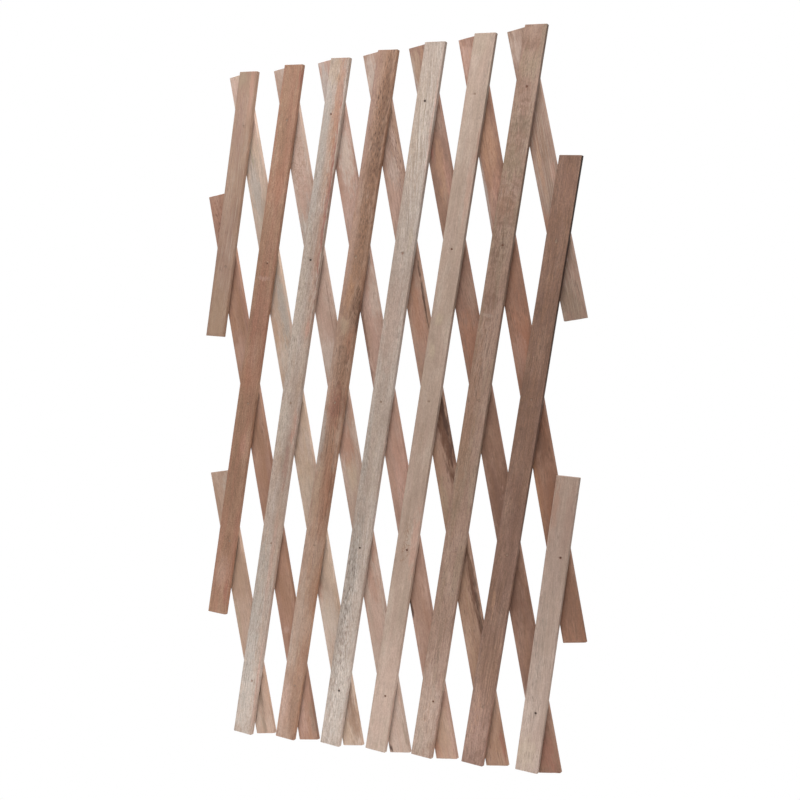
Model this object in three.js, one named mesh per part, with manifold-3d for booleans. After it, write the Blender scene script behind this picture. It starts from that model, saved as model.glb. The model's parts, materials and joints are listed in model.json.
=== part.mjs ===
// Expanding trellis: eighteen flat hardwood slats in two layers, hinged on thirty-seven small nails.
// Millimetres. +Z is up, +X is to the right and the front faces -Y. The origin is on the back of the
// middle back slat, halfway between two nails, where a screw through that slat holds the trellis up.

import * as THREE from "three";
import { mergeVertices } from "three/addons/utils/BufferGeometryUtils.js";
import Module from "manifold-3d";

const wasm = await Module();
wasm.setup();

// Driving dimensions
const pitch = 174; // between neighbouring nails along a slat
const leanDegrees = 10.25; // lean of each line of nails from upright, with the lattice nearly closed
const slatWidth = 26;
const slatThickness = 6;
const layerGap = 1.5; // play between the front and the back layer
const overhang = 67; // slat beyond its last nail at the top and bottom of the lattice
const longSideOverhang = 93; // at the side of the lattice, on a slat with four nails
const shortSideOverhang = 88; // at the side of the lattice, on a slat with two nails
const skewDegrees = 4.2; // how far off square both ends of every slat are sawn
const easedEdge = 0.5; // sanded-off corner along every edge
const holeRadius = 1;
const countersinkDepth = 0.9; // a 45 degree cone in the outer face of each slat
const shankRadius = 0.65;
const seatGap = 0.35; // between a nail's head or tail and its cone, measured across
const sunk = 0.4; // head and tail below the faces of the wood
const roundSides = 8;

// The lattice: slats are numbered from the left, and a front slat crosses a back slat
// wherever their numbers differ by two at most, save at the two bare corners.
const slatsPerLayer = 9;
const middle = 5;
const reach = 2;

// How each slat lies on its line of nails, because no hole is bored quite where it should be:
// degrees turned clockwise, millimetres moved right and millimetres slid up, seen from the front.
const frontOffLine = [
  [-0.3, -3.5, 0], [0.3, -2.5, 0], [0.4, -0.5, -0.5],
  [0.5, 0, 0], [0.3, 0, 0], [0.3, -0.5, 0.5],
  [0.3, -2.5, 0.5], [0.4, -1, 0], [-1, -3, 0.5],
];
const backOffLine = [
  [-1.1, -0.5, 0.5], [-0.2, 1.5, 0], [-0.2, 0.5, 0.5],
  [0, 2.5, -0.5], [0.2, 2, 0], [0.2, 2, 0],
  [0.1, 1, 0], [0.6, -1, 0], [-0.5, 1, 1],
];

// Timber tones, from grey and pale to red-brown, no two neighbours quite alike
const frontTones = [
  "#b39a88", "#a67f69", "#b3a498", "#a98570", "#b5a394", "#bba28f", "#a48876", "#94735f", "#bda894",
];
const backTones = [
  "#b3957f", "#a8805f", "#c2ad98", "#bb9d88", "#bd9a86", "#b89a84", "#a57f62", "#a67d5f", "#a98e78",
];
const nailColour = "#3b332d";

const lean = THREE.MathUtils.degToRad(leanDegrees);
const skew = THREE.MathUtils.degToRad(skewDegrees);
const layerOffset = (layerGap + slatThickness) / 2; // from the lattice's mid-plane to a layer's
const faceOffset = layerGap / 2 + slatThickness;
const countersinkRadius = holeRadius + countersinkDepth;
const headRadius = countersinkRadius - sunk - seatGap;

// Where front slat i and back slat j are nailed together, as x and z from the centre of the lattice
function crossing(i, j) {
  const x = pitch * Math.sin(lean) * (i + j - 2 * middle);
  const z = pitch * Math.cos(lean) * (j - i);
  return new THREE.Vector2(x, z);
}

function isNailed(i, j) {
  const bareCorner = i === j && (i === 1 || i === slatsPerLayer);
  return Math.abs(i - j) <= reach && !bareCorner;
}

// The slats of the other layer that slat number n is nailed to
function partners(n) {
  return Array.from({ length: slatsPerLayer }, (_, k) => k + 1).filter((other) => isNailed(n, other));
}

function toSolid(geometry) {
  geometry.deleteAttribute("normal");
  geometry.deleteAttribute("uv");
  const merged = mergeVertices(geometry, 1e-4);
  return new wasm.Manifold(
    new wasm.Mesh({
      numProp: 3,
      vertProperties: merged.attributes.position.array,
      triVerts: new Uint32Array(merged.index.array),
    }),
  );
}

function toGeometry(solid) {
  const mesh = solid.getMesh();
  const geometry = new THREE.BufferGeometry();
  geometry.setAttribute("position", new THREE.BufferAttribute(mesh.vertProperties, 3));
  geometry.setIndex(new THREE.BufferAttribute(mesh.triVerts, 1));
  geometry.computeVertexNormals();
  return geometry;
}

// The drill and countersink for one nail hole. It bores along Y, and its cone opens towards -Y.
function drill() {
  const past = 1;
  const outer = -slatThickness / 2;
  const profile = [
    new THREE.Vector2(0, outer - past),
    new THREE.Vector2(countersinkRadius + past, outer - past),
    new THREE.Vector2(holeRadius, outer + countersinkDepth),
    new THREE.Vector2(holeRadius, -outer + past),
    new THREE.Vector2(0, -outer + past),
  ];
  return new THREE.LatheGeometry(profile, roundSides);
}

// A slat's outline, seen from the front with its length upright. Both ends are sawn at the same
// slight skew, which slopes the other way on a back slat: the same piece turned over.
function slatOutline(bottom, top, isFront) {
  const half = slatWidth / 2 - easedEdge;
  const rise = (isFront ? 1 : -1) * half * Math.tan(skew);
  const low = bottom + easedEdge;
  const high = top - easedEdge;
  return new THREE.Shape([
    new THREE.Vector2(-half, low - rise),
    new THREE.Vector2(half, low + rise),
    new THREE.Vector2(half, high + rise),
    new THREE.Vector2(-half, high - rise),
  ]);
}

// The strip of wood in its own upright frame, bored at the given places across and along it
function slatGeometry(bottom, top, holes, isFront) {
  const strip = new THREE.ExtrudeGeometry(slatOutline(bottom, top, isFront), {
    depth: slatThickness - 2 * easedEdge,
    bevelEnabled: true,
    bevelSize: easedEdge,
    bevelThickness: easedEdge,
    bevelSegments: 1,
  });
  strip.translate(0, 0, easedEdge - slatThickness / 2);
  strip.rotateX(Math.PI / 2);
  const outward = isFront ? 0 : Math.PI;
  const bores = holes.map(({ x, y }) => toSolid(drill().rotateX(outward).translate(x, 0, y)));
  return toGeometry(toSolid(strip).subtract(wasm.Manifold.union(bores)));
}

// How much wood stands past the last nail of slat n: the end that lies inside the lattice's
// width at the side is longer than one at the top or bottom.
function sideOverhang(n) {
  const nails = partners(n).length;
  if (nails === 2) return shortSideOverhang;
  return nails === 4 ? longSideOverhang : overhang;
}

function makeSlat(n, isFront) {
  const numbers = partners(n);
  const nails = numbers.map((other) => (isFront ? crossing(n, other) : crossing(other, n)));
  nails.sort((a, b) => a.y - b.y);
  const lowest = nails[0];
  const highest = nails[nails.length - 1];
  const [offDegrees, offAcross, offAlong] = (isFront ? frontOffLine : backOffLine)[n - 1];
  const angle = (isFront ? lean : -lean) + THREE.MathUtils.degToRad(offDegrees);

  const centre = new THREE.Vector2().addVectors(lowest, highest).multiplyScalar(0.5);
  centre.x += offAcross;
  const across = new THREE.Vector2(Math.cos(angle), -Math.sin(angle));
  const along = new THREE.Vector2(Math.sin(angle), Math.cos(angle));
  const holes = nails.map((nail) => {
    const from = nail.clone().sub(centre);
    return new THREE.Vector2(from.dot(across), from.dot(along));
  });

  const isLeft = n < middle;
  const sideIsBelow = isFront === isLeft;
  const below = sideIsBelow ? sideOverhang(n) : overhang;
  const above = sideIsBelow ? overhang : sideOverhang(n);
  const bottom = holes[0].y - below + offAlong;
  const top = holes[holes.length - 1].y + above + offAlong;

  const tone = (isFront ? frontTones : backTones)[n - 1];
  const wood = new THREE.MeshStandardMaterial({ color: tone, roughness: 0.8, metalness: 0 });
  const slat = new THREE.Mesh(slatGeometry(bottom, top, holes, isFront), wood);
  slat.name = `${isFront ? "front" : "back"}_slat_${n}`;
  slat.rotation.y = angle;
  slat.position.set(centre.x, isFront ? -layerOffset : layerOffset, centre.y);
  return slat;
}

// A nail from head to peened tail, both cones seated in the countersinks with a little play
function nailGeometry() {
  const end = faceOffset - sunk;
  const cone = headRadius - shankRadius;
  const profile = [
    new THREE.Vector2(0, -end),
    new THREE.Vector2(headRadius, -end),
    new THREE.Vector2(shankRadius, -end + cone),
    new THREE.Vector2(shankRadius, end - cone),
    new THREE.Vector2(headRadius, end),
    new THREE.Vector2(0, end),
  ];
  return new THREE.LatheGeometry(profile, roundSides);
}

function makeNail(i, j) {
  const steel = new THREE.MeshStandardMaterial({ color: nailColour, roughness: 0.55, metalness: 0.9 });
  const nail = new THREE.Mesh(nailGeometry(), steel);
  const place = crossing(i, j);
  nail.name = `nail_f${i}_b${j}`;
  nail.rotation.y = lean;
  nail.position.set(place.x, 0, place.y);
  return nail;
}

const frontLayer = new THREE.Group();
const backLayer = new THREE.Group();
const nails = new THREE.Group();
for (let n = 1; n <= slatsPerLayer; n += 1) {
  frontLayer.add(makeSlat(n, true));
  backLayer.add(makeSlat(n, false));
  for (const other of partners(n)) nails.add(makeNail(n, other));
}

// The screw point, halfway between the middle nail and the next one up the middle back slat
const screwPoint = crossing(middle, middle).add(crossing(middle - 1, middle)).multiplyScalar(0.5);

const trellis = new THREE.Group();
trellis.add(backLayer, nails, frontLayer);
trellis.position.set(-screwPoint.x, -faceOffset, -screwPoint.y);

const part = new THREE.Group();
part.add(trellis);
export default part;
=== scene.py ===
# Looks of an expanding trellis: eighteen slats of mixed hardwood, hinged on thirty-seven small nails.
# Sizes are in millimetres and MM scales them. +Z is up, +X is right and the front faces -Y.

import math
import random

import bpy
from mathutils import Euler, Matrix, Vector, noise
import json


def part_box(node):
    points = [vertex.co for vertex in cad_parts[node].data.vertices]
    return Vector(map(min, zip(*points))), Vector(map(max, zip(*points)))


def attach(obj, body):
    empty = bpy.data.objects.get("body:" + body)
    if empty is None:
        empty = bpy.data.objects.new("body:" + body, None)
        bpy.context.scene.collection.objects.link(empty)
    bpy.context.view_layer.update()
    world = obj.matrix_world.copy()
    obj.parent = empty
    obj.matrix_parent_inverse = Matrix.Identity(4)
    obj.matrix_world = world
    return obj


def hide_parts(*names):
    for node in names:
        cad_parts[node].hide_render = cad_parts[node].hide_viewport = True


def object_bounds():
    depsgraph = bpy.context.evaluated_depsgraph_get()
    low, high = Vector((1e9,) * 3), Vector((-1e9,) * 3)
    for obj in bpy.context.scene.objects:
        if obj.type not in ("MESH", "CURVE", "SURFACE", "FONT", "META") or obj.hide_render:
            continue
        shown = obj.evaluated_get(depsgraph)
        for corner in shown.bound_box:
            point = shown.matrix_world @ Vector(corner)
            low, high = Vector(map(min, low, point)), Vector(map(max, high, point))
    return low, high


MM = 0.001
SLATS_PER_LAYER = 9

# Camera, measured from the lattice's middle nail: it stands to the right of the front and looks level.
# The distance, aside and above values place it along, across and over its own line of sight.
CAMERA_TURN_DEGREES = 27
CAMERA_ROLL_DEGREES = -0.8
CAMERA_DISTANCE = 1386
CAMERA_ASIDE = 19.2
CAMERA_ABOVE = 2.1
LENS = 53.37
SENSOR = 36

# Floor: far enough down for the lattice, which hangs on its wall screw, to open without touching it
FLOOR_GAP = 290
FLOOR_HALF_SIZE = 4000
FLOOR_GREY = 0.88
SHADOW_REACH = 600  # how far from the lattice the floor keeps a shadow
SHADOW_SHARE = 0.12

# Light: watts for the lamps, and metres for their sizes and for where they stand from the lattice's
# middle. The front and back lamps stand to the left, and a strip stands before each end of the lattice.
WORLD_LIGHT = 0.275
FILL_COLOUR = (1.02, 1.0, 0.98)
FRONT_LIGHT = 31
FRONT_PLACE = (-0.8, -2.9, 0.4)
BACK_LIGHT = 30
BACK_PLACE = (-0.8, 2.8, 0.6)
BROAD_SIZE = 2.4
RIGHT_LIGHT = 97
RIGHT_PLACE = (0.75, -0.15, 2.75)
RIGHT_SIZE = 1.2
UPPER_STRIP = 0.6
LOWER_STRIP = 0.41
STRIP_COLOUR = (0.92, 1.0, 1.08)
STRIP_WIDTH = 1.1
STRIP_THICKNESS = 0.1
STRIP_HEIGHT = 0.4
STRIP_AWAY = 0.2

# Slat cross-section
SLAT_HALF_WIDTH = 13
SLAT_HALF_THICKNESS = 3
EASED_RADIUS = 0.7
CORNER_STEPS = 3
WIDE_STEPS = 8
NARROW_STEPS = 2

# Along a slat: its rings of points, and the slight waves of its faces and edges and rough ends
RING_STEP = 4
END_CHAMFER = 0.35
END_RINGS = (END_CHAMFER, 1.2, 2.4)
FACE_WAVE = 0.1
FACE_WAVE_WIDTH = 9
FACE_WAVE_LENGTH = 45
EDGE_WAVE = 0.18
EDGE_WAVE_LENGTH = 70
EDGE_WAVE_FADE = 4  # how fast an edge's waves fade towards the middle
WAVE_SHIFT = 0.4  # keeps the waves mostly inside the plain shape
END_RAGGEDNESS = 0.25
END_RAGGED_SIZE = 1.7
SHARP_DEGREES = 35

# Nails and their holes
HOLE_RADIUS = 1.0
COUNTERSINK_DEPTH = 0.9
HEAD_RADIUS = 1.15
SHANK_RADIUS = 0.65
ROUND_SIDES = 24
DENT_DEPTH = 0.05
NAIL_SEED = 37

# Noises, each with its size across, deep and along in millimetres, how detailed it is, and a number
# that keeps it apart from the others
NOISES = {
    "wander": ((1, 1, 120), 1.0, 0),
    "shiver": ((14, 14, 26), 1.0, 5),
    "broad": ((5, 5, 150), 2.0, 0),
    "medium": ((1.8, 1.8, 42), 2.5, 11),
    "fine": ((0.7, 0.7, 9), 2.0, 23),
    "cloud": ((16, 16, 44), 2.0, 31),
    "grit": ((1.1, 1.1, 1.9), 1.0, 43),
    "pores": ((0.7, 0.7, 9), 1.0, 57),
    "haze": ((8, 8, 90), 1.0, 61),
    "specks": ((0.65, 0.65, 6), 1.0, 71),
    "lines": ((0.8, 0.8, 45), 1.0, 71),
    "mottle": ((9, 9, 6), 1.0, 71),
    "curls": ((4, 4, 6), 2.0, 83),
    "torn": ((2.6, 2.6, 11), 2.5, 97),
    "rust": ((0.5, 0.5, 0.5), 3.0, 5),
}
SEED_STEP = (3.7, 1.9, 5.3)  # how far apart in the noise two of these numbers lie
MIDDLE_LEVELS = (0.3, 0.7)  # most of what a noise gives lies between them


def linear(tone):
    """A tone written as hex, such as b39a88, as linear colour."""
    channels = [int(tone[k : k + 2], 16) / 255 for k in (0, 2, 4)]
    return tuple(c / 12.92 if c <= 0.04045 else ((c + 0.055) / 1.055) ** 2.4 for c in channels)


class Graph:
    """A material's node tree, built up by calls that mostly return a socket."""

    def __init__(self, name, seed=0):
        self.seed = seed
        self.material = bpy.data.materials.new(name)
        self.material.use_nodes = True
        self.tree = self.material.node_tree
        self.tree.nodes.clear()

    def node(self, kind, **settings):
        made = self.tree.nodes.new(kind)
        for key, value in settings.items():
            setattr(made, key, value)
        return made

    def feed(self, socket, value):
        """Links a socket to another, or gives it a constant."""
        if isinstance(value, bpy.types.NodeSocket):
            self.tree.links.new(value, socket)
        else:
            socket.default_value = value

    def wired(self, kind, values, **settings):
        """A new node whose first inputs are fed with these values."""
        made = self.node(kind, **settings)
        for socket, value in zip(made.inputs, values):
            self.feed(socket, value)
        return made

    def math(self, operation, *values):
        return self.wired("ShaderNodeMath", values, operation=operation).outputs[0]

    def vector_math(self, operation, *values):
        return self.wired("ShaderNodeVectorMath", values, operation=operation).outputs[0]

    def scale(self, vector, factor):
        made = self.wired("ShaderNodeVectorMath", [vector], operation="SCALE")
        self.feed(made.inputs["Scale"], factor)
        return made.outputs[0]

    def length(self, vector):
        return self.wired("ShaderNodeVectorMath", [vector], operation="LENGTH").outputs["Value"]

    def split(self, vector):
        return self.wired("ShaderNodeSeparateXYZ", [vector]).outputs

    def join(self, x, y, z):
        return self.wired("ShaderNodeCombineXYZ", (x, y, z)).outputs[0]

    def noise(self, kind, place):
        """One of the named noises, from 0 to 1, at a place in millimetres."""
        size, detail, offset = NOISES[kind]
        seed = self.seed + offset
        scaled = self.vector_math("MULTIPLY", place, tuple(1 / s for s in size))
        moved = self.vector_math("ADD", scaled, tuple(seed * s for s in SEED_STEP))
        made = self.node("ShaderNodeTexNoise", noise_dimensions="3D")
        self.feed(made.inputs["Vector"], moved)
        made.inputs["Scale"].default_value = 1.0
        made.inputs["Detail"].default_value = detail
        return made.outputs[0]

    def stir(self, value, source, amount):
        """Adds a noise to a value, as much above its middle as below it."""
        return self.math("MULTIPLY_ADD", self.math("SUBTRACT", source, 0.5), amount, value)

    def ease(self, value, low, high, to_low=0.0, to_high=1.0):
        """Goes smoothly from to_low to to_high as value goes from low to high."""
        values = (value, low, high, to_low, to_high)
        made = self.wired("ShaderNodeMapRange", values, interpolation_type="SMOOTHSTEP")
        return made.outputs[0]

    def blend(self, share, first, second):
        made = self.node("ShaderNodeMix", data_type="RGBA")
        colours = [s for s in made.inputs if s.type == "RGBA"]
        self.feed(made.inputs[0], share)
        for socket, value in zip(colours, (first, second)):
            self.feed(socket, value if isinstance(value, bpy.types.NodeSocket) else (*value, 1.0))
        return made.outputs[2]

    def ramp(self, value, positions, colours):
        made = self.wired("ShaderNodeValToRGB", [value])
        elements = made.color_ramp.elements
        while len(elements) < len(positions):
            elements.new(0.5)
        for element, position, colour in zip(elements, positions, colours):
            element.position = position
            element.color = (*colour, 1.0)
        return made.outputs[0]

    def surface(self, shader):
        output = self.node("ShaderNodeOutputMaterial")
        self.feed(output.inputs["Surface"], shader)
        return self.material


# Tones of the marks in the wood
TONES = {
    "black": "46322a",
    "dark": "5e473c",
    "brown": "7d5f4e",
    "umber": "8f6d58",
    "red": "935e50",
    "rust": "a47058",
    "orange": "b4896a",
    "tan": "af947c",
    "olive": "857260",
    "moss": "998b72",
    "straw": "bdaa90",
    "pale": "bfb0a2",
    "chalk": "d6ccc2",
    "grey": "aaa198",
    "stone": "83776d",
    "pink": "b99788",
    "rose": "bc8c7b",
    "mauve": "967568",
    "plum": "5f4032",
}

# How each slat looks. Its tones are those of its darker streaks, of most of its wood, of its lighter
# streaks and of its faint long haze. fibre and pore say how strong its fine grain and its open pores
# are, and slant how far they lean, across per along. rightward and upward say how much paler the wood
# gets from its middle to its right edge and its top end. The pair for its narrow sides is painted light
# and shade: how much brighter or darker they are painted at the bottom and at the top.
#
# Marks, one a line: tone, strength, place across from 0 at the left edge to 1 at the right, height
# above the lattice's middle nail, half its width and half its length. A mark is a soft stain, or it
# names what it is: specks are short dark dashes, flecks are pale ones between them, lines and gleams
# are long thin ones, curls are burr lines and mottle is blocky.
PLAIN = {"fibre": 0.18, "pore": 0.35, "slant": 0.0, "rightward": 0.0, "upward": 0.0}
LOOKS = {}
LOOKS["front_slat_1"] = {
    "tones": ("876a5b", "9e806c", "af9482", "9f8174"),
    "fibre": 0.15,
    "painted_side_lighting": (1.15, 1.2),
    "marks": [
        ("moss", 0.4, 0.2, 402, 0.3, 16),
        ("rose", 0.4, 0.8, 385, 0.14, 34),
        ("mauve", 0.4, 0.4, 340, 0.4, 40),
        ("olive", 0.3, 0.87, 325, 0.1, 14),
        ("mauve", 0.3, 0.5, 200, 0.5, 50),
        ("tan", 0.4, 0.5, 106, 0.6, 30),
        ("pale", 0.35, 0.6, 240, 0.5, 150, "gleams"),
    ],
}
LOOKS["front_slat_2"] = {
    "tones": ("87624e", "9d7a64", "b08e7a", "a06f5d"),
    "fibre": 0.38,
    "pore": 0.25,
    "painted_side_lighting": (1.32, 1.0),
    "marks": [
        ("umber", 0.4, 0.4, 392, 0.5, 22),
        ("red", 0.6, 0.92, 398, 0.07, 18),
        ("dark", 0.4, 0.6, 350, 0.25, 24, "specks"),
        ("umber", 0.4, 0.5, 322, 0.6, 14),
        ("rust", 0.35, 0.5, 262, 0.6, 26),
        ("pink", 0.5, 0.5, 153, 0.35, 3),
        ("red", 0.25, 0.5, 110, 0.5, 40),
        ("rust", 0.4, 0.3, 32, 0.3, 25),
        ("umber", 0.4, 0.6, 0, 0.5, 20),
        ("rose", 0.35, 0.7, -52, 0.22, 14),
        ("umber", 0.4, 0.5, -110, 0.5, 40),
        ("pink", 0.35, 0.45, -208, 0.4, 22),
        ("red", 0.5, 0.87, -234, 0.12, 16),
        ("straw", 0.3, 0.25, 300, 0.2, 90, "specks"),
        ("dark", 0.3, 0.5, 60, 0.5, 260, "lines"),
    ],
}
LOOKS["front_slat_3"] = {
    "tones": ("978272", "af9b8e", "c2b3a9", "b29682"),
    "fibre": 0.32,
    "pore": 0.45,
    "rightward": -0.03,
    "painted_side_lighting": (1.32, 0.95),
    "marks": [
        ("grey", 0.55, 0.22, 290, 0.26, 110),
        ("pale", 0.6, 0.2, 110, 0.3, 110),
        ("rust", 0.55, 0.72, 362, 0.22, 70),
        ("rust", 0.5, 0.84, 275, 0.12, 60),
        ("rust", 0.4, 0.78, 195, 0.14, 70),
        ("red", 0.65, 0.92, 235, 0.08, 120),
        ("rose", 0.6, 0.86, 92, 0.12, 20),
        ("dark", 0.4, 0.35, 190, 0.36, 90, "specks"),
        ("dark", 0.4, 0.55, 58, 0.18, 28, "specks"),
        ("pale", 0.6, 0.25, -25, 0.3, 44),
        ("mauve", 0.6, 0.76, -66, 0.16, 36),
        ("red", 0.5, 0.72, -85, 0.15, 32, "specks"),
        ("rose", 0.5, 0.88, -28, 0.1, 24),
        ("pale", 0.3, 0.4, -215, 0.5, 60),
        ("rose", 0.35, 0.72, -190, 0.13, 60),
        ("chalk", 0.35, 0.4, -355, 0.6, 70),
        ("rose", 0.4, 0.92, -345, 0.07, 60),
        ("tan", 0.5, 0.3, 392, 0.4, 18),
        ("chalk", 0.2, 0.8, 60, 0.3, 30),
        ("stone", 0.45, 0.3, -270, 0.45, 140, "lines"),
        ("chalk", 0.35, 0.35, -280, 0.5, 130, "gleams"),
        ("umber", 0.35, 0.6, 200, 0.35, 150, "lines"),
        ("orange", 0.2, 0.58, 320, 0.2, 100),
        ("grey", 0.45, 0.25, -270, 0.35, 100),
    ],
}
LOOKS["front_slat_4"] = {
    "tones": ("7e5f4f", "a0816e", "b59b8b", "a57b61"),
    "fibre": 0.28,
    "rightward": -0.13,
    "upward": -0.02,
    "painted_side_lighting": (1.45, 1.1),
    "marks": [
        ("mauve", 0.5, 0.12, 330, 0.2, 100),
        ("pink", 0.3, 0.14, 170, 0.2, 70),
        ("brown", 0.8, 0.72, 360, 0.26, 50),
        ("brown", 0.6, 0.62, 285, 0.4, 85),
        ("dark", 0.3, 0.8, 300, 0.2, 50),
        ("black", 0.78, 0.66, 315, 0.38, 110, "specks"),
        ("orange", 0.45, 0.6, 300, 0.36, 100, "flecks"),
        ("umber", 0.7, 0.66, 190, 0.33, 66),
        ("dark", 0.65, 0.66, 190, 0.34, 64, "specks"),
        ("orange", 0.3, 0.6, 180, 0.3, 60, "flecks"),
        ("orange", 0.4, 0.4, 130, 0.3, 32),
        ("brown", 0.6, 0.84, 118, 0.26, 22),
        ("dark", 0.6, 0.97, 102, 0.06, 22),
        ("straw", 0.35, 0.4, 90, 0.3, 10),
        ("rust", 0.4, 0.8, 70, 0.18, 20),
        ("dark", 0.25, 0.6, 58, 0.3, 14),
        ("black", 0.7, 0.6, 44, 0.34, 30, "specks"),
        ("umber", 0.45, 0.6, 34, 0.28, 26),
        ("red", 0.5, 0.55, -6, 0.36, 26),
        ("dark", 0.5, 0.6, -4, 0.35, 34, "specks"),
        ("plum", 0.6, 0.9, -92, 0.05, 46),
        ("orange", 0.4, 0.7, -62, 0.2, 50, "flecks"),
        ("grey", 0.5, 0.08, -40, 0.16, 44),
        ("tan", 0.4, 0.3, -105, 0.3, 40),
        ("pink", 0.4, 0.28, -368, 0.28, 34),
        ("rust", 0.25, 0.78, -300, 0.2, 36),
        ("umber", 0.4, 0.7, -368, 0.15, 22, "specks"),
        ("rust", 0.4, 0.7, -100, 0.3, 60),
        ("pale", 0.25, 0.3, -265, 0.5, 60),
        ("black", 0.9, 0.84, 116, 0.24, 24, "specks"),
        ("dark", 0.5, 0.65, -60, 0.35, 120, "lines"),
        ("tan", 0.4, 0.4, -200, 0.5, 160, "gleams"),
    ],
}
LOOKS["front_slat_5"] = {
    "tones": ("958376", "b19f92", "c3b6ac", "ad978a"),
    "fibre": 0.3,
    "pore": 0.3,
    "slant": 0.09,
    "painted_side_lighting": (1.26, 0.84),
    "marks": [
        ("tan", 0.35, 0.3, 310, 0.5, 90),
        ("rose", 0.35, 0.95, 320, 0.05, 70),
        ("chalk", 0.2, 0.5, 270, 0.45, 110, "flecks"),
        ("stone", 0.25, 0.5, 330, 0.4, 90, "specks"),
        ("straw", 0.35, 0.75, 190, 0.12, 16),
        ("pink", 0.3, 0.45, 90, 0.5, 60),
        ("grey", 0.4, 0.16, -70, 0.16, 60),
        ("dark", 0.6, 0.22, -80, 0.2, 50, "specks"),
        ("straw", 0.3, 0.5, -60, 0.3, 50, "flecks"),
        ("grey", 0.6, 0.3, -200, 0.33, 70),
        ("dark", 0.65, 0.28, -190, 0.3, 60, "specks"),
        ("dark", 0.8, 0.35, -310, 0.4, 100, "specks"),
        ("chalk", 0.7, 0.45, -300, 0.45, 105, "flecks"),
        ("chalk", 0.3, 0.6, -350, 0.6, 66),
        ("stone", 0.3, 0.1, -275, 0.2, 60),
        ("chalk", 0.45, 0.5, 300, 0.5, 120, "gleams"),
        ("stone", 0.35, 0.5, 250, 0.5, 150, "lines"),
        ("chalk", 0.4, 0.7, -170, 0.35, 80, "gleams"),
        ("dark", 0.25, 0.3, -200, 0.3, 120, "lines"),
    ],
}
LOOKS["front_slat_6"] = {
    "tones": ("998474", "ae9787", "beab9c", "af9385"),
    "fibre": 0.2,
    "pore": 0.2,
    "painted_side_lighting": (1.3, 0.65),
    "marks": [
        ("stone", 0.55, 0.84, 368, 0.12, 44, "specks"),
        ("stone", 0.4, 0.8, 330, 0.14, 36, "curls"),
        ("moss", 0.2, 0.35, 396, 0.4, 16),
        ("red", 0.35, 0.96, 288, 0.05, 26),
        ("rose", 0.25, 0.85, 235, 0.12, 44),
        ("straw", 0.4, 0.4, 92, 0.2, 8),
        ("straw", 0.35, 0.3, 56, 0.18, 10),
        ("umber", 0.3, 0.4, -48, 0.24, 22, "curls"),
        ("umber", 0.6, 0.42, -150, 0.16, 30, "specks"),
        ("umber", 0.8, 0.5, -165, 0.2, 30, "curls"),
        ("pale", 0.4, 0.5, -350, 0.7, 66),
        ("rose", 0.45, 0.85, -160, 0.2, 36),
        ("stone", 0.12, 0.5, 200, 0.5, 220, "lines"),
        ("pink", 0.4, 0.5, -340, 0.6, 66),
    ],
}
LOOKS["front_slat_7"] = {
    "tones": ("7f6555", "9c7f6f", "b39989", "907f69"),
    "fibre": 0.3,
    "pore": 0.45,
    "rightward": 0.03,
    "painted_side_lighting": (1.3, 0.58),
    "marks": [
        ("brown", 0.4, 0.5, 250, 0.7, 150, "mottle"),
        ("brown", 0.5, 0.45, 260, 0.5, 140, "specks"),
        ("brown", 0.45, 0.5, 388, 0.6, 8),
        ("moss", 0.35, 0.5, 366, 0.5, 16),
        ("olive", 0.5, 0.55, 302, 0.4, 12),
        ("moss", 0.3, 0.4, 262, 0.5, 24),
        ("umber", 0.45, 0.35, 215, 0.45, 20),
        ("plum", 0.28, 0.4, 112, 0.45, 10),
        ("pale", 0.25, 0.35, 94, 0.33, 2),
        ("dark", 0.4, 0.4, 172, 0.4, 30, "specks"),
        ("umber", 0.5, 0.2, -20, 0.4, 110),
        ("brown", 0.35, 0.5, -210, 0.4, 70, "specks"),
        ("pale", 0.4, 0.3, -365, 0.7, 56),
        ("orange", 0.5, 0.45, -362, 0.22, 22, "flecks"),
        ("dark", 0.22, 0.5, -320, 0.5, 100, "lines"),
        ("pale", 0.15, 0.5, -320, 0.5, 90, "gleams"),
        ("dark", 0.2, 0.6, 60, 0.5, 200, "lines"),
        ("pink", 0.25, 0.5, -340, 0.6, 60),
    ],
}
LOOKS["front_slat_8"] = {
    "tones": ("6a5042", "86685a", "9d7f6d", "7f5f4c"),
    "fibre": 0.32,
    "upward": -0.05,
    "painted_side_lighting": (1.38, 0.15),
    "marks": [
        ("mauve", 0.35, 0.6, 225, 0.4, 26),
        ("dark", 0.25, 0.85, 70, 0.18, 90),
        ("dark", 0.3, 0.15, 8, 0.3, 30),
        ("orange", 0.25, 0.5, 100, 0.6, 240, "flecks"),
        ("plum", 0.2, 0.6, -120, 0.4, 50),
        ("orange", 0.35, 0.3, -226, 0.1, 16),
        ("dark", 0.4, 0.6, -250, 0.3, 60, "specks"),
        ("pink", 0.35, 0.4, -365, 0.6, 44),
        ("orange", 0.5, 0.35, -350, 0.16, 26, "flecks"),
        ("dark", 0.5, 0.4, -398, 0.3, 9, "specks"),
        ("umber", 0.4, 0.7, -296, 0.5, 50),
        ("brown", 0.3, 0.5, -40, 0.6, 60),
        ("tan", 0.15, 0.5, -290, 0.5, 120, "gleams"),
        ("dark", 0.36, 0.5, -280, 0.5, 130, "lines"),
        ("dark", 0.36, 0.5, 80, 0.5, 180, "lines"),
        ("umber", 0.25, 0.5, 100, 0.5, 160, "gleams"),
    ],
}
LOOKS["front_slat_9"] = {
    "tones": ("968071", "ab9486", "bea99c", "a38a7e"),
    "fibre": 0.2,
    "pore": 0.5,
    "slant": 0.06,
    "upward": -0.05,
    "painted_side_lighting": (1.1, 0.95),
    "marks": [
        ("mauve", 0.3, 0.8, -135, 0.25, 44),
        ("rust", 0.3, 0.15, -118, 0.2, 34),
        ("stone", 0.6, 0.32, -270, 0.3, 80, "specks"),
        ("straw", 0.3, 0.4, -388, 0.5, 20),
        ("stone", 0.22, 0.45, -240, 0.5, 150, "lines"),
        ("pale", 0.15, 0.5, -300, 0.5, 110, "gleams"),
    ],
}
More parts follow.
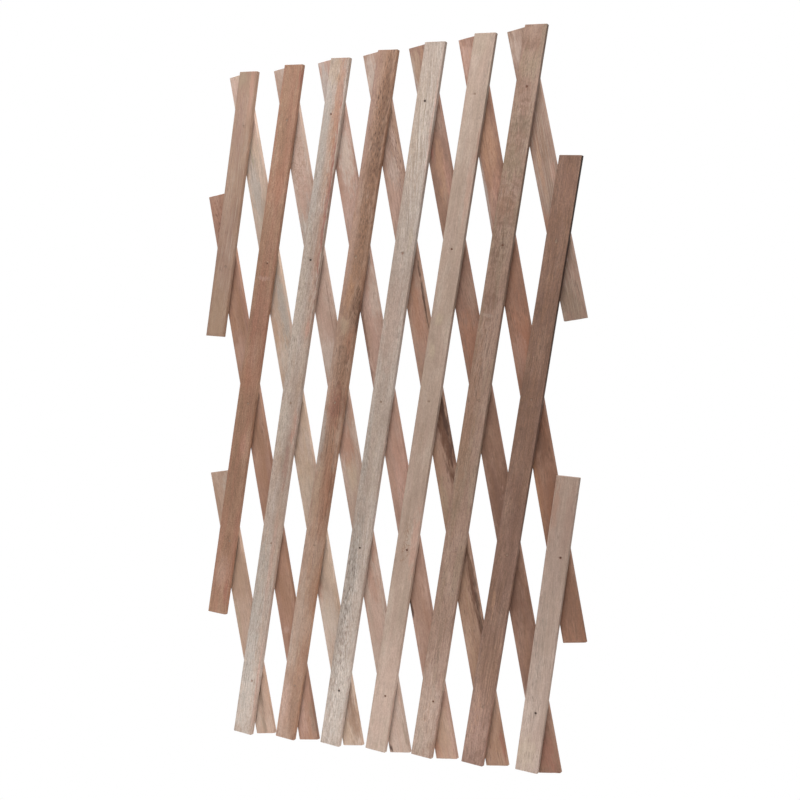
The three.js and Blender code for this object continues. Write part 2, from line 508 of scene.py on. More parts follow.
LOOKS["back_slat_1"] = {
    "tones": ("967b6a", "b29583", "c3ab9b", "b6947e"),
    "painted_side_lighting": (1.35, 1.35),
    "marks": [
        ("pale", 0.6, 0.85, -115, 0.3, 26),
        ("tan", 0.4, 0.5, -200, 0.5, 50),
        ("moss", 0.35, 0.1, -262, 0.12, 28),
        ("olive", 0.7, 0.6, -358, 0.1, 24),
        ("olive", 0.6, 0.5, -396, 0.1, 14),
        ("dark", 0.4, 0.55, -375, 0.2, 24, "specks"),
        ("umber", 0.3, 0.1, -120, 0.2, 22),
        ("umber", 0.25, 0.5, -215, 0.6, 44),
        ("pale", 0.4, 0.2, -375, 0.3, 34),
    ],
}
LOOKS["back_slat_2"] = {
    "tones": ("886451", "a17c6a", "b69483", "a67e62"),
    "painted_side_lighting": (0.95, 1.4),
    "marks": [
        ("dark", 0.6, 0.4, 235, 0.4, 30, "specks"),
        ("rust", 0.3, 0.35, 232, 0.4, 24),
        ("orange", 0.5, 0.3, 80, 0.3, 44, "flecks"),
        ("umber", 0.5, 0.65, 104, 0.3, 22),
        ("umber", 0.5, 0.5, -232, 0.5, 30),
        ("pink", 0.5, 0.3, -276, 0.2, 4),
        ("olive", 0.55, 0.88, -386, 0.14, 22),
        ("dark", 0.35, 0.5, -385, 0.4, 22, "specks"),
        ("pink", 0.5, 0.4, 60, 0.5, 26),
        ("umber", 0.5, 0.5, -42, 0.6, 24),
        ("pink", 0.6, 0.3, -374, 0.4, 30),
        ("dark", 0.5, 0.3, 218, 0.3, 30, "specks"),
    ],
}
LOOKS["back_slat_3"] = {
    "tones": ("9c8675", "baa292", "cdbbae", "ba9d82"),
    "painted_side_lighting": (1.38, 1.35),
    "marks": [
        ("rose", 0.4, 0.86, 345, 0.12, 24),
        ("grey", 0.6, 0.4, 262, 0.3, 42),
        ("moss", 0.6, 0.5, 304, 0.08, 14),
        ("grey", 0.65, 0.76, 112, 0.24, 50),
        ("orange", 0.4, 0.18, 80, 0.16, 50),
        ("straw", 0.4, 0.3, 18, 0.14, 30),
        ("stone", 0.5, 0.66, 76, 0.2, 50, "specks"),
        ("tan", 0.6, 0.4, -90, 0.5, 34),
        ("olive", 0.45, 0.28, -205, 0.25, 14),
        ("pale", 0.4, 0.4, -256, 0.5, 28),
        ("olive", 0.65, 0.82, -372, 0.14, 26),
        ("tan", 0.5, 0.45, -390, 0.4, 18),
        ("pink", 0.5, 0.2, 384, 0.3, 26),
        ("straw", 0.4, 0.5, 205, 0.3, 30),
        ("chalk", 0.3, 0.5, 54, 0.6, 20),
        ("rust", 0.45, 0.12, -213, 0.2, 24),
        ("umber", 0.6, 0.8, -376, 0.35, 34),
        ("pink", 0.4, 0.2, 392, 0.3, 20),
        ("pale", 0.3, 0.6, -108, 0.5, 26),
        ("stone", 0.5, 0.6, 285, 0.4, 60, "lines"),
    ],
}
LOOKS["back_slat_4"] = {
    "tones": ("9b7e6d", "b39b8c", "c7b3a7", "ba9686"),
    "painted_side_lighting": (1.22, 1.22),
    "marks": [
        ("umber", 0.65, 0.4, 285, 0.6, 64, "curls"),
        ("pink", 0.4, 0.5, 250, 0.5, 50),
        ("grey", 0.5, 0.7, 226, 0.24, 24),
        ("grey", 0.45, 0.18, 208, 0.18, 24),
        ("plum", 0.65, 0.82, 108, 0.03, 34),
        ("pink", 0.4, 0.45, 92, 0.5, 50),
        ("red", 0.5, 0.96, 48, 0.08, 26),
        ("straw", 0.4, 0.5, -86, 0.3, 24),
        ("rust", 0.3, 0.6, -212, 0.3, 28),
        ("olive", 0.6, 0.92, -388, 0.06, 20),
        ("olive", 0.45, 0.14, -372, 0.1, 24),
        ("black", 0.9, 0.06, -403, 0.1, 5),
        ("umber", 0.3, 0.2, 388, 0.4, 24),
        ("chalk", 0.25, 0.3, 56, 0.5, 24),
        ("rust", 0.5, 0.4, -50, 0.5, 28),
        ("rust", 0.4, 0.9, -160, 0.2, 26),
        ("chalk", 0.45, 0.5, 212, 0.4, 16),
        ("rust", 0.35, 0.9, -10, 0.2, 20),
    ],
}
LOOKS["back_slat_5"] = {
    "tones": ("93705f", "af8f80", "c4a99c", "ac8470"),
    "upward": 0.05,
    "painted_side_lighting": (1.2, 1.06),
    "marks": [
        ("grey", 0.6, 0.2, 380, 0.3, 34),
        ("moss", 0.4, 0.8, 402, 0.18, 12),
        ("pale", 0.55, 0.6, 290, 0.4, 44),
        ("plum", 0.7, 0.06, 82, 0.1, 60),
        ("pink", 0.35, 0.5, 92, 0.4, 46),
        ("rose", 0.35, 0.8, -90, 0.4, 50),
        ("umber", 0.45, 0.4, -240, 0.5, 66),
        ("black", 0.8, 0.04, -236, 0.05, 14),
        ("moss", 0.35, 0.3, -342, 0.3, 13),
        ("tan", 0.5, 0.4, -375, 0.5, 40),
        ("pale", 0.4, 0.85, 125, 0.3, 40),
        ("rust", 0.45, 0.1, -375, 0.25, 40),
        ("umber", 0.3, 0.15, 90, 0.3, 40),
    ],
}
LOOKS["back_slat_6"] = {
    "tones": ("7c5c4d", "a0806e", "b89c8d", "9e7c63"),
    "upward": 0.15,
    "painted_side_lighting": (1.35, 1.1),
    "marks": [
        ("pale", 0.45, 0.3, 386, 0.4, 24),
        ("dark", 0.4, 0.2, 394, 0.25, 14, "specks"),
        ("dark", 0.5, 0.75, 270, 0.2, 40, "specks"),
        ("rust", 0.4, 0.5, 98, 0.4, 46),
        ("black", 0.8, 0.9, 114, 0.06, 46),
        ("plum", 0.85, 0.8, -40, 0.3, 60),
        ("black", 0.7, 0.92, -30, 0.12, 34),
        ("plum", 0.9, 0.84, -205, 0.14, 70),
        ("black", 0.6, 0.92, -236, 0.08, 36),
        ("moss", 0.3, 0.2, -112, 0.2, 28),
        ("orange", 0.5, 0.4, -350, 0.4, 50, "flecks"),
        ("dark", 0.4, 0.5, -270, 0.35, 60, "specks"),
        ("red", 0.55, 0.92, -386, 0.08, 18),
        ("pink", 0.45, 0.4, 240, 0.5, 50),
        ("pink", 0.3, 0.4, 56, 0.5, 24),
        ("brown", 0.5, 0.7, -165, 0.35, 36),
        ("plum", 0.6, 0.8, 300, 0.25, 60, "specks"),
        ("pale", 0.3, 0.5, 268, 0.3, 20),
        ("pink", 0.4, 0.4, 215, 0.4, 20),
        ("umber", 0.4, 0.2, -220, 0.3, 40),
        ("dark", 0.4, 0.4, 260, 0.5, 80, "lines"),
        ("tan", 0.35, 0.4, -250, 0.5, 120, "gleams"),
    ],
}
LOOKS["back_slat_7"] = {
    "tones": ("725446", "8e6d5d", "a48776", "8c6b56"),
    "upward": 0.1,
    "painted_side_lighting": (1.32, 1.2),
    "marks": [
        ("tan", 0.5, 0.26, 384, 0.3, 24),
        ("orange", 0.4, 0.6, 396, 0.14, 14),
        ("grey", 0.45, 0.06, 330, 0.08, 60),
        ("red", 0.6, 0.18, 288, 0.12, 14),
        ("orange", 0.4, 0.5, 262, 0.2, 44),
        ("rose", 0.35, 0.75, 245, 0.18, 28),
        ("rust", 0.4, 0.5, 60, 0.6, 40),
        ("plum", 0.3, 0.5, -112, 0.6, 56),
        ("pink", 0.5, 0.7, -122, 0.24, 24, "flecks"),
        ("plum", 0.4, 0.6, -222, 0.6, 36),
        ("red", 0.35, 0.5, -386, 0.5, 22),
        ("pink", 0.35, 0.3, -340, 0.6, 34),
    ],
}
LOOKS["back_slat_8"] = {
    "tones": ("755343", "916d5b", "a78572", "986a52"),
    "upward": 0.14,
    "painted_side_lighting": (1.0, 1.15),
    "marks": [
        ("pink", 0.6, 0.4, 380, 0.5, 30),
        ("orange", 0.5, 0.4, 384, 0.35, 28, "flecks"),
        ("grey", 0.5, 0.05, 250, 0.06, 80),
        ("orange", 0.35, 0.5, 285, 0.4, 52),
        ("rose", 0.35, 0.62, 235, 0.25, 22),
        ("dark", 0.4, 0.6, 220, 0.3, 30, "specks"),
        ("rust", 0.5, 0.6, 62, 0.4, 52),
        ("dark", 0.5, 0.3, 80, 0.25, 50, "specks"),
        ("plum", 0.5, 0.6, -44, 0.4, 26),
        ("orange", 0.4, 0.08, -96, 0.07, 46),
        ("mauve", 0.3, 0.4, -236, 0.6, 34),
        ("brown", 0.45, 0.65, -225, 0.6, 40),
        ("pink", 0.3, 0.3, 50, 0.4, 30),
        ("umber", 0.4, 0.3, 325, 0.5, 26),
        ("pink", 0.3, 0.3, 210, 0.3, 24),
        ("orange", 0.2, 0.4, 300, 0.5, 100, "gleams"),
    ],
}
LOOKS["back_slat_9"] = {
    "tones": ("7b6356", "987b6c", "ac9181", "967d69"),
    "painted_side_lighting": (1.0, 1.16),
    "marks": [
        ("red", 0.6, 0.7, 376, 0.24, 22, "curls"),
        ("umber", 0.4, 0.4, 285, 0.4, 36),
        ("orange", 0.3, 0.3, 250, 0.12, 38),
        ("rose", 0.45, 0.8, 245, 0.14, 14),
        ("olive", 0.5, 0.5, 104, 0.6, 22),
        ("pink", 0.35, 0.4, 384, 0.4, 26),
        ("rust", 0.45, 0.1, 180, 0.3, 34),
        ("pale", 0.3, 0.3, 386, 0.3, 20),
        ("pale", 0.35, 0.5, 220, 0.6, 160, "gleams"),
    ],
}

# Kinds of mark other than stains, each with the noise that breaks it up and the two levels between
# which it comes in. Curls are narrow ridges halfway up their noise.
PATTERNS = {
    "specks": ("specks", 0.52, 0.64),
    "flecks": ("specks", 0.48, 0.36),
    "lines": ("lines", 0.52, 0.62),
    "gleams": ("lines", 0.48, 0.38),
    "mottle": ("mottle", 0.44, 0.60),
}
CURL_WIDTH = 0.055

# Outlines of marks: where a patch starts to fade and where it ends, as shares of its half size, and how
# ragged and frayed it is, across in shares of the slat's width and along in millimetres
PATCH_EDGE = (0.35, 1.3)
RAGGED = 2.2
FRAYED_BY_MEDIUM = 0.12
FRAYED_BY_SHIVER = 0.16
FRAYED_ALONG = 3.0
FRAYED_BESIDE_NAIL = (0.8, 1.2)  # across and along, in millimetres

# Wood: how far its grain strays sideways, and the strengths of its streaks, soft blotches and haze
WANDER_REACH = 8.0
SHIVER_REACH = 1.6
BROAD_STREAK = 0.196
NARROW_STREAK = 0.28
BLOTCH = 0.6
HAZE = 0.35
HAZE_LEVELS = (0.42, 0.66)
TONE_STOPS = (0.25, 0.5, 0.75)  # where the darker, the main and the lighter tone lie
PALER = (0.7, 1.0, 1.35)  # paler wood is also a little greyer

# Pores are open and dark where their noise is high, and fewer outside the paler blotches. Their tone
# and that of the sawn ends are shares of the slat's own tones.
PORE_LEVELS = (0.57, 0.66)
BLOTCH_LEVELS = (0.4, 0.6)
FEWEST_PORES = 0.2
PORE_TONE = 0.4
END_TONE = 0.72
FACING = (0.7, 0.95)  # how squarely a face looks sideways or endways before it counts as a side or end

# Surface: its small bumps in millimetres, the pores' share in them, its roughness and its shine
BUMP_DEPTH = 0.15
BUMP_STRENGTH = 0.6
PORE_DEPTH = 1.5
WOOD_ROUGHNESS = (0.72, 0.88)
WOOD_SHINE = 0.25


class Grain:
    """The places and the noises in one slat's wood, which grows along local Z."""

    def __init__(self, g, slant):
        place = g.node("ShaderNodeTexCoord")
        self.normal = g.split(place.outputs["Normal"])
        inside = g.scale(place.outputs["Object"], 1 / MM)
        self.across, depth, self.along = g.split(inside)
        self.shiver = g.noise("shiver", inside)
        wander = g.noise("wander", g.join(0.0, 0.0, self.along))
        bent = g.math("MULTIPLY_ADD", wander, WANDER_REACH, self.across)
        bent = g.math("MULTIPLY_ADD", self.shiver, SHIVER_REACH, bent)
        self.upright = g.join(bent, depth, self.along)
        self.leaning = g.join(g.math("MULTIPLY_ADD", self.along, slant, bent), depth, self.along)
        self.broad = g.noise("broad", self.upright)
        self.medium = g.noise("medium", self.upright)
        self.fine = g.noise("fine", self.leaning)
        self.cloud = g.noise("cloud", inside)
        self.grit = g.noise("grit", inside)


def streaked(g, grain, deep, base, pale, blush):
    """Wood with streaks and soft blotches, and faint long haze of one more tone."""
    tone = g.stir(0.5, grain.broad, BROAD_STREAK)
    tone = g.stir(tone, grain.cloud, BLOTCH)
    wood = g.ramp(tone, TONE_STOPS, (deep, base, pale))
    haze = g.ease(g.noise("haze", grain.upright), *HAZE_LEVELS, 0.0, HAZE)
    return g.blend(haze, wood, blush)


def mark_pattern(g, grain, kind):
    """Where a kind of mark shows inside its patch, from 0 to 1."""
    if kind == "curls":
        ridge = g.math("ABSOLUTE", g.math("SUBTRACT", g.noise(kind, grain.leaning), 0.5))
        return g.ease(ridge, 0.0, CURL_WIDTH, 1.0, 0.0)
    name, low, high = PATTERNS[kind]
    source = g.noise(name, grain.leaning)
    return g.ease(source, low, high) if low < high else g.ease(source, high, low, 1.0, 0.0)


def patch(g, spot, place, half_size, strength, ragged):
    """A soft oval with ragged edges, strength at its middle and 0 outside."""
    away = g.vector_math("SUBTRACT", spot, (*place, 0.0))
    scaled = g.vector_math("MULTIPLY", away, (1 / half_size[0], 1 / half_size[1], 0.0))
    return g.ease(g.math("ADD", g.length(scaled), ragged), *PATCH_EDGE, strength, 0.0)


def marked(g, grain, slat, marks, wood):
    """The wood with its stains and its other marks."""
    share = g.math("MULTIPLY_ADD", grain.across, 0.5 / SLAT_HALF_WIDTH, 0.5)
    share = g.stir(share, grain.medium, FRAYED_BY_MEDIUM)
    share = g.stir(share, grain.shiver, FRAYED_BY_SHIVER)
    above_nail = slat.centre.z - lattice_centre.z / MM
    height = g.math("MULTIPLY_ADD", grain.along, math.cos(slat.angle), above_nail)
    height = g.stir(height, grain.grit, FRAYED_ALONG)
    spot = g.join(share, height, 0.0)
    ragged = g.stir(0.0, g.noise("torn", grain.upright), RAGGED)
    patterns = {}
    for tone, strength, x, z, half_x, half_z, *kinds in marks:
        mask = patch(g, spot, (x, z), (half_x, half_z), strength, ragged)
        for kind in kinds:
            if kind not in patterns:
                patterns[kind] = mark_pattern(g, grain, kind)
            mask = g.math("MULTIPLY", mask, patterns[kind])
        wood = g.blend(mask, wood, linear(TONES[tone]))
    return wood


def shaded(g, grain, slat, look, wood):
    """The wood as it gets paler to one side and one end, with its finer streaks and fibres."""
    slope = g.math("MULTIPLY", grain.across, look["rightward"] / SLAT_HALF_WIDTH)
    slope = g.math("MULTIPLY_ADD", grain.along, look["upward"] / slat.top[0], slope)
    paler = g.vector_math("MULTIPLY_ADD", slope, PALER, (1.0, 1.0, 1.0))
    shade = g.stir(1.0, grain.medium, NARROW_STREAK)
    shade = g.stir(shade, grain.fine, 2 * look["fibre"])
    shade = g.stir(shade, grain.grit, 2 * look["fibre"])
    return g.scale(g.vector_math("MULTIPLY", wood, paler), shade)


def stained_by_nails(g, grain, marks, wood):
    """The wood with a small stain beside each nail."""
    across, along = FRAYED_BESIDE_NAIL
    across = g.math("MULTIPLY_ADD", grain.grit, across, grain.across)
    along = g.math("MULTIPLY_ADD", grain.fine, along, grain.along)
    around = g.join(across, along, 0.0)
    for place, half_size, strength, tone in marks:
        mask = patch(g, around, place, half_size, strength, 0.0)
        wood = g.blend(mask, wood, linear(TONES[tone]))
    return wood


def painted_sides_and_sawn_ends(g, grain, slat, painted_side_lighting, end_tone, wood):
    """The wood with painted light and shade on its narrow sides, which are made brighter or darker from
    the bottom end to the top, and its ends in end_tone.
    """
    # Painted light and shade: the narrow sides are brightened or darkened by a factor that runs from
    # the bottom end to the top, in place of the light that falls on them. The sawn ends take the darker
    # end tone.
    sides = g.ease(g.math("ABSOLUTE", grain.normal[0]), *FACING)
    ends = g.ease(g.math("ABSOLUTE", grain.normal[2]), *FACING)
    painted_side_brightness = g.ease(grain.along, slat.bottom[0], slat.top[0], *painted_side_lighting)
    painted_side_change = g.math("MULTIPLY", sides, g.math("SUBTRACT", painted_side_brightness, 1.0))
    wood = g.scale(wood, g.math("ADD", painted_side_change, 1.0))
    return g.blend(ends, wood, end_tone)


def wood_material(name, look, seed, slat, nail_stains):
    """Bare sawn hardwood with its grain along local Z."""
    look = {**PLAIN, **look}
    deep, base, pale, blush = (linear(tone) for tone in look["tones"])
    g = Graph(name, seed)
    grain = Grain(g, look["slant"])
    wood = streaked(g, grain, deep, base, pale, blush)
    wood = marked(g, grain, slat, look["marks"], wood)
    wood = shaded(g, grain, slat, look, wood)
    open_pores = g.ease(g.noise("pores", grain.leaning), *PORE_LEVELS)
    frequent = g.ease(grain.cloud, *BLOTCH_LEVELS, FEWEST_PORES, 1.0)
    pores = g.math("MULTIPLY", g.math("MULTIPLY", open_pores, frequent), look["pore"])
    wood = g.blend(pores, wood, tuple(PORE_TONE * c for c in deep))
    wood = stained_by_nails(g, grain, nail_stains, wood)
    # painted light and shade on the narrow sides, and the darker sawn ends
    wood = painted_sides_and_sawn_ends(g, grain, slat, look["painted_side_lighting"], tuple(END_TONE * c for c in base), wood)

    bump = g.node("ShaderNodeBump")
    bump.inputs["Distance"].default_value = BUMP_DEPTH * MM
    bump.inputs["Strength"].default_value = BUMP_STRENGTH
    g.feed(bump.inputs["Height"], g.math("MULTIPLY_ADD", pores, -PORE_DEPTH, grain.fine))

    shader = g.node("ShaderNodeBsdfPrincipled")
    g.feed(shader.inputs["Base Color"], wood)
    g.feed(shader.inputs["Roughness"], g.ease(grain.medium, *MIDDLE_LEVELS, *WOOD_ROUGHNESS))
    shader.inputs["Specular IOR Level"].default_value = WOOD_SHINE
    g.feed(shader.inputs["Normal"], bump.outputs[0])
    return g.surface(shader.outputs[0])


# Nails: some are dark, some rusty and most so dull and dusty with wood that they hardly show.
# Each kind has its dark, main and light tone, and how bright a metal it is.
NAIL_LOOKS = {
    "dark": ("2f2825", "41362f", "5a4538", 0.7),
    "rusty": ("4a2f26", "6a4533", "85604a", 0.4),
    "dusty": ("7d6453", "957a66", "ab9079", 0.1),
}
NAIL_STOPS = (0.35, 0.55, 0.7)
NAIL_ROUGHNESS = (0.45, 0.7)

# The nails that aren't dusty
DARKER_NAILS = {
    "nail_f2_b3": "rusty",
    "nail_f3_b4": "dark",
    "nail_f3_b5": "rusty",
    "nail_f5_b3": "dark",
    "nail_f5_b4": "dark",
    "nail_f5_b7": "dark",
    "nail_f6_b4": "rusty",
    "nail_f6_b5": "rusty",
    "nail_f6_b7": "rusty",
    "nail_f7_b5": "rusty",
    "nail_f7_b8": "rusty",
    "nail_f7_b9": "rusty",
    "nail_f9_b7": "dark",
    "nail_f9_b8": "rusty",
}


def nail_material(kind):
    """Wire steel under rust or wood dust."""
    *tones, metal = NAIL_LOOKS[kind]
    g = Graph(f"nail_{kind}")
    place = g.node("ShaderNodeTexCoord")
    blotches = g.noise("rust", g.scale(place.outputs["Object"], 1 / MM))
    shader = g.node("ShaderNodeBsdfPrincipled")
    g.feed(shader.inputs["Base Color"], g.ramp(blotches, NAIL_STOPS, map(linear, tones)))
    g.feed(shader.inputs["Roughness"], g.ease(blotches, *MIDDLE_LEVELS, *NAIL_ROUGHNESS))
    shader.inputs["Metallic"].default_value = metal
    return g.surface(shader.outputs[0])


def mesh_object(name, points, faces, material):
    """A smooth-shaded object from points in millimetres."""
    mesh = bpy.data.meshes.new(name)
    mesh.from_pydata([tuple(MM * c for c in p) for p in points], [], faces)
    mesh.polygons.foreach_set("use_smooth", [True] * len(mesh.polygons))
    mesh.materials.append(material)
    made = bpy.data.objects.new(name, mesh)
    bpy.context.scene.collection.objects.link(made)
    return made


class Slat:
    """Where a packed slat lies: its middle, how far it leans and where its two ends are cut."""

    def __init__(self, node, is_front):
        points = [v.co / MM for v in frame["nodes"][node].data.vertices]
        leftmost = min(points, key=lambda p: p.x)
        rightmost = max(points, key=lambda p: p.x)
        lowest = min(points, key=lambda p: p.z)
        highest = max(points, key=lambda p: p.z)
        if is_front:
            corners = [leftmost, lowest, highest, rightmost]
        else:
            corners = [lowest, rightmost, leftmost, highest]
        bottom_left, bottom_right, top_left, top_right = corners
        up = top_left - bottom_left
        low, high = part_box(node)
        self.angle = math.atan2(up.x, up.z)
        self.centre = sum(corners, Vector()) / 4
        self.centre.y = (low.y + high.y) / 2 / MM
        self.bottom = self.end(bottom_left, bottom_right)
        self.top = self.end(top_left, top_right)

    def inside(self, point):
        """A point as its place across and along the slat."""
        away = point - self.centre
        cos, sin = math.cos(self.angle), math.sin(self.angle)
        return away.x * cos - away.z * sin, away.x * sin + away.z * cos

    def end(self, left, right):
        """The height of an end on the slat's middle line, and its slope."""
        (x0, z0), (x1, z1) = self.inside(left), self.inside(right)
        slope = (z1 - z0) / (x1 - x0)
        return z0 - slope * x0, slope


def section(inset=0.0):
    """A slat's cross-section, anticlockwise seen from its top end: thin, with eased corners."""
    points = []
    radius = EASED_RADIUS
    half_x = SLAT_HALF_WIDTH - inset
    half_y = SLAT_HALF_THICKNESS - inset
    signs = [(1, 1), (-1, 1), (-1, -1), (1, -1)]
    for corner, (sign_x, sign_y) in enumerate(signs):
        centre = Vector((sign_x * (half_x - radius), sign_y * (half_y - radius)))
        for step in range(CORNER_STEPS + 1):
            turn = math.radians(90 * (corner + step / CORNER_STEPS))
            points.append(centre + radius * Vector((math.cos(turn), math.sin(turn))))
        next_x, next_y = signs[(corner + 1) % 4]
        start = points[-1]
        stop = Vector((next_x * (half_x - radius), next_y * half_y))
        steps = WIDE_STEPS
        if corner % 2:
            stop = Vector((next_x * half_x, next_y * (half_y - radius)))
            steps = NARROW_STEPS
        points += [start.lerp(stop, k / steps) for k in range(1, steps)]
    return points


def wave(*place):
    return noise.noise(Vector(place))


def slat_points(slat, seed):
    """Rings of points from the bottom end to the top one, with the slight unevenness of sawn wood."""
    (low, low_slope), (high, high_slope) = slat.bottom, slat.top
    length = high - low
    middle_rings = round(length / RING_STEP)
    plain = [length * k / middle_rings for k in range(1, middle_rings)]
    plain = [d for d in plain if max(END_RINGS) < d < length - max(END_RINGS)]
    stations = [0, *END_RINGS, *plain, *(length - d for d in reversed(END_RINGS)), length]
    full, ends = section(), section(END_CHAMFER)
    rings = []
    for station in stations:
        is_end = station in (0, length)
        share = station / length
        ring = []
        for x, y in ends if is_end else full:
            from_bottom = low + low_slope * x
            from_top = high + high_slope * x
            z = from_bottom + share * (from_top - from_bottom)
            side = math.copysign(1, x) * min(1, abs(x) / SLAT_HALF_WIDTH) ** EDGE_WAVE_FADE
            face = math.copysign(1, y) if abs(y) > SLAT_HALF_THICKNESS / 2 else 0
            edge_wave = wave(seed + side, z / EDGE_WAVE_LENGTH, 0.5)
            x += EDGE_WAVE * side * (edge_wave - WAVE_SHIFT)
            face_wave = wave(x / FACE_WAVE_WIDTH, z / FACE_WAVE_LENGTH, seed + face * 3)
            y += FACE_WAVE * face * (face_wave - WAVE_SHIFT)
            if is_end:
                inward = 1 if station == 0 else -1
                worn = abs(wave(x / END_RAGGED_SIZE, y / END_RAGGED_SIZE, seed + share))
                z += inward * END_RAGGEDNESS * worn
            ring.append((x, y, z))
        rings.append(ring)
    return rings


def nail_nodes(slat_node):
    """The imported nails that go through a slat."""
    layer, number = slat_node.split("_slat_")
    nails = [n for n in frame["nodes"] if n.startswith("nail")]
    if layer == "front":
        return sorted(n for n in nails if n.startswith(f"nail_f{number}_"))
    return sorted(n for n in nails if n.endswith(f"_b{number}"))


def draw_nail_stains(slat, nails, draw):
    """Small stains beside the nails, each a little different: place, half size, strength and tone."""
    stains = []
    for nail in nails:
        low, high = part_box(nail)
        x, z = slat.inside((low + high) / 2 / MM)
        place = (x + draw.uniform(-0.4, 1.2), z + draw.uniform(-0.6, 1.8))
        half_size = (draw.uniform(0.9, 1.5), draw.uniform(1.2, 2.6))
        strength = draw.uniform(0.15, 0.6)
        tone = draw.choice(("red", "dark", "straw", "umber"))
        stains.append((place, half_size, strength, tone))
    return stains


def lathe(profile):
    """Points and faces of a solid turned about Y, from (radius, y) pairs from axis to axis."""
    sides = ROUND_SIDES
    points = [(0, profile[0][1], 0)]
    for radius, y in profile[1:-1]:
        for k in range(sides):
            turn = math.tau * k / sides
            points.append((radius * math.cos(turn), y, radius * math.sin(turn)))
    points.append((0, profile[-1][1], 0))
    last = len(points) - 1
    rows = len(profile) - 2
    faces = []
    for k in range(sides):
        beside = (k + 1) % sides
        faces.append((0, 1 + k, 1 + beside))
        for row in range(rows - 1):
            a, b = 1 + row * sides, 1 + (row + 1) * sides
            faces.append((a + k, b + k, b + beside, a + beside))
        end = 1 + (rows - 1) * sides
        faces.append((last, end + beside, end + k))
    return points, faces


def drill_profile(outer):
    """A nail hole's drill, with its countersink cone at the outer face, which is at -Y or +Y."""
    past = 1.0
    face = SLAT_HALF_THICKNESS
    profile = [
        (0, -face - past),
        (HOLE_RADIUS + COUNTERSINK_DEPTH + past, -face - past),
        (HOLE_RADIUS, -face + COUNTERSINK_DEPTH),
        (HOLE_RADIUS, face + past),
        (0, face + past),
    ]
    if outer > 0:
        profile = [(radius, -y) for radius, y in reversed(profile)]
    return profile


def bore(board, slat, nails, outer):
    """Cuts the nail holes, by taking one many-part cutter away from the board."""
    points, faces = [], []
    drill_points, drill_faces = lathe(drill_profile(outer))
    for nail in nails:
        low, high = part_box(nail)
        x, z = slat.inside((low + high) / 2 / MM)
        faces += [tuple(k + len(points) for k in face) for face in drill_faces]
        points += [(px + x, py, pz + z) for px, py, pz in drill_points]
    cutter = mesh_object("cutter", points, faces, board.data.materials[0])
    cut = board.modifiers.new("holes", "BOOLEAN")
    cut.object = cutter
    cut.operation = "DIFFERENCE"
    cut.solver = "EXACT"
    seen = board.evaluated_get(bpy.context.evaluated_depsgraph_get())
    bored = bpy.data.meshes.new_from_object(seen)
    board.modifiers.clear()
    board.data = bored
    bpy.data.objects.remove(cutter)


def make_slat(number, is_front):
    layer = "front" if is_front else "back"
    node = f"{layer}_slat_{number}"
    slat = Slat(node, is_front)
    seed = number + (0 if is_front else SLATS_PER_LAYER)
    rings = slat_points(slat, seed)
    size = len(rings[0])
    points = [p for ring in rings for p in ring]
    faces = [tuple(reversed(range(size)))]
    for row in range(len(rings) - 1):
        a, b = row * size, (row + 1) * size
        for k in range(size):
            beside = (k + 1) % size
            faces.append((a + k, a + beside, b + beside, b + k))
    faces.append(tuple(range(len(points) - size, len(points))))
    nails = nail_nodes(node)
    nail_stains = draw_nail_stains(slat, nails, random.Random(seed))
    wood = wood_material(f"{node}_wood", LOOKS[node], seed, slat, nail_stains)
    board = mesh_object(f"{node}_board", points, faces, wood)
    bore(board, slat, nails, -1 if is_front else 1)
    board.data.set_sharp_from_angle(angle=math.radians(SHARP_DEGREES))
    board.location = slat.centre * MM
    board.rotation_euler = (0, slat.angle, 0)
    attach(board, node)
    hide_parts(node)


def make_nail(node, material, draw):
    """A small wire nail, its head and peened tail both slightly domed and dented."""
    low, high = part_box(node)
    half = (high.y - low.y) / 2 / MM
    cone = HEAD_RADIUS - SHANK_RADIUS
    dome = draw.uniform(0.05, 0.1)
    head = [
        (0, half + dome),
        (0.5, half + 0.75 * dome),
        (0.9, half),
        (HEAD_RADIUS - 0.06, half - 0.06),
        (HEAD_RADIUS - 0.02, half - 0.14),
        (SHANK_RADIUS + 0.1, half - cone),
        (SHANK_RADIUS, half - cone - 0.12),
    ]
    profile = [(radius, -y) for radius, y in head] + list(reversed(head))
    points, faces = lathe(profile)
    offset = draw.uniform(0, 9)
    dented = []
    for x, y, z in points:
        is_outer = abs(y) > half - 0.1
        dent = DENT_DEPTH * wave(x + offset, z, math.copysign(offset, y)) if is_outer else 0
        dented.append((x, y - math.copysign(abs(dent), y), z))
    nail = mesh_object(f"{node}_pin", dented, faces, material)
    nail.data.set_sharp_from_angle(angle=math.radians(SHARP_DEGREES))
    nail.location = (low + high) / 2
    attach(nail, bodies[node])
    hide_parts(node)


def make_camera(centre):
    turn = Euler((math.radians(90), 0, math.radians(CAMERA_TURN_DEGREES))).to_matrix()
    facing = turn @ Matrix.Rotation(math.radians(CAMERA_ROLL_DEGREES), 3, "Z")
    camera = bpy.data.objects.new("camera", bpy.data.cameras.new("camera"))
    camera.data.lens = LENS
    camera.data.sensor_width = SENSOR
    camera.rotation_euler = facing.to_euler()
    camera.location = centre + facing @ Vector((CAMERA_ASIDE, CAMERA_ABOVE, CAMERA_DISTANCE)) * MM
    bpy.context.scene.collection.objects.link(camera)
    bpy.context.scene.camera = camera


def softbox(name, place, target, width, height, power, colour=(1, 1, 1)):
    """A soft lamp at place, in metres, that faces its target and isn't seen itself."""
    data = bpy.data.lights.new(name, "AREA")
    data.shape = "RECTANGLE"
    data.size = width
    data.size_y = height
    data.energy = power
    data.color = colour
    lamp = bpy.data.objects.new(name, data)
    lamp.location = place
    lamp.rotation_euler = (Vector(target) - Vector(place)).to_track_quat("-Z", "Y").to_euler()
    lamp.visible_camera = False
    bpy.context.scene.collection.objects.link(lamp)


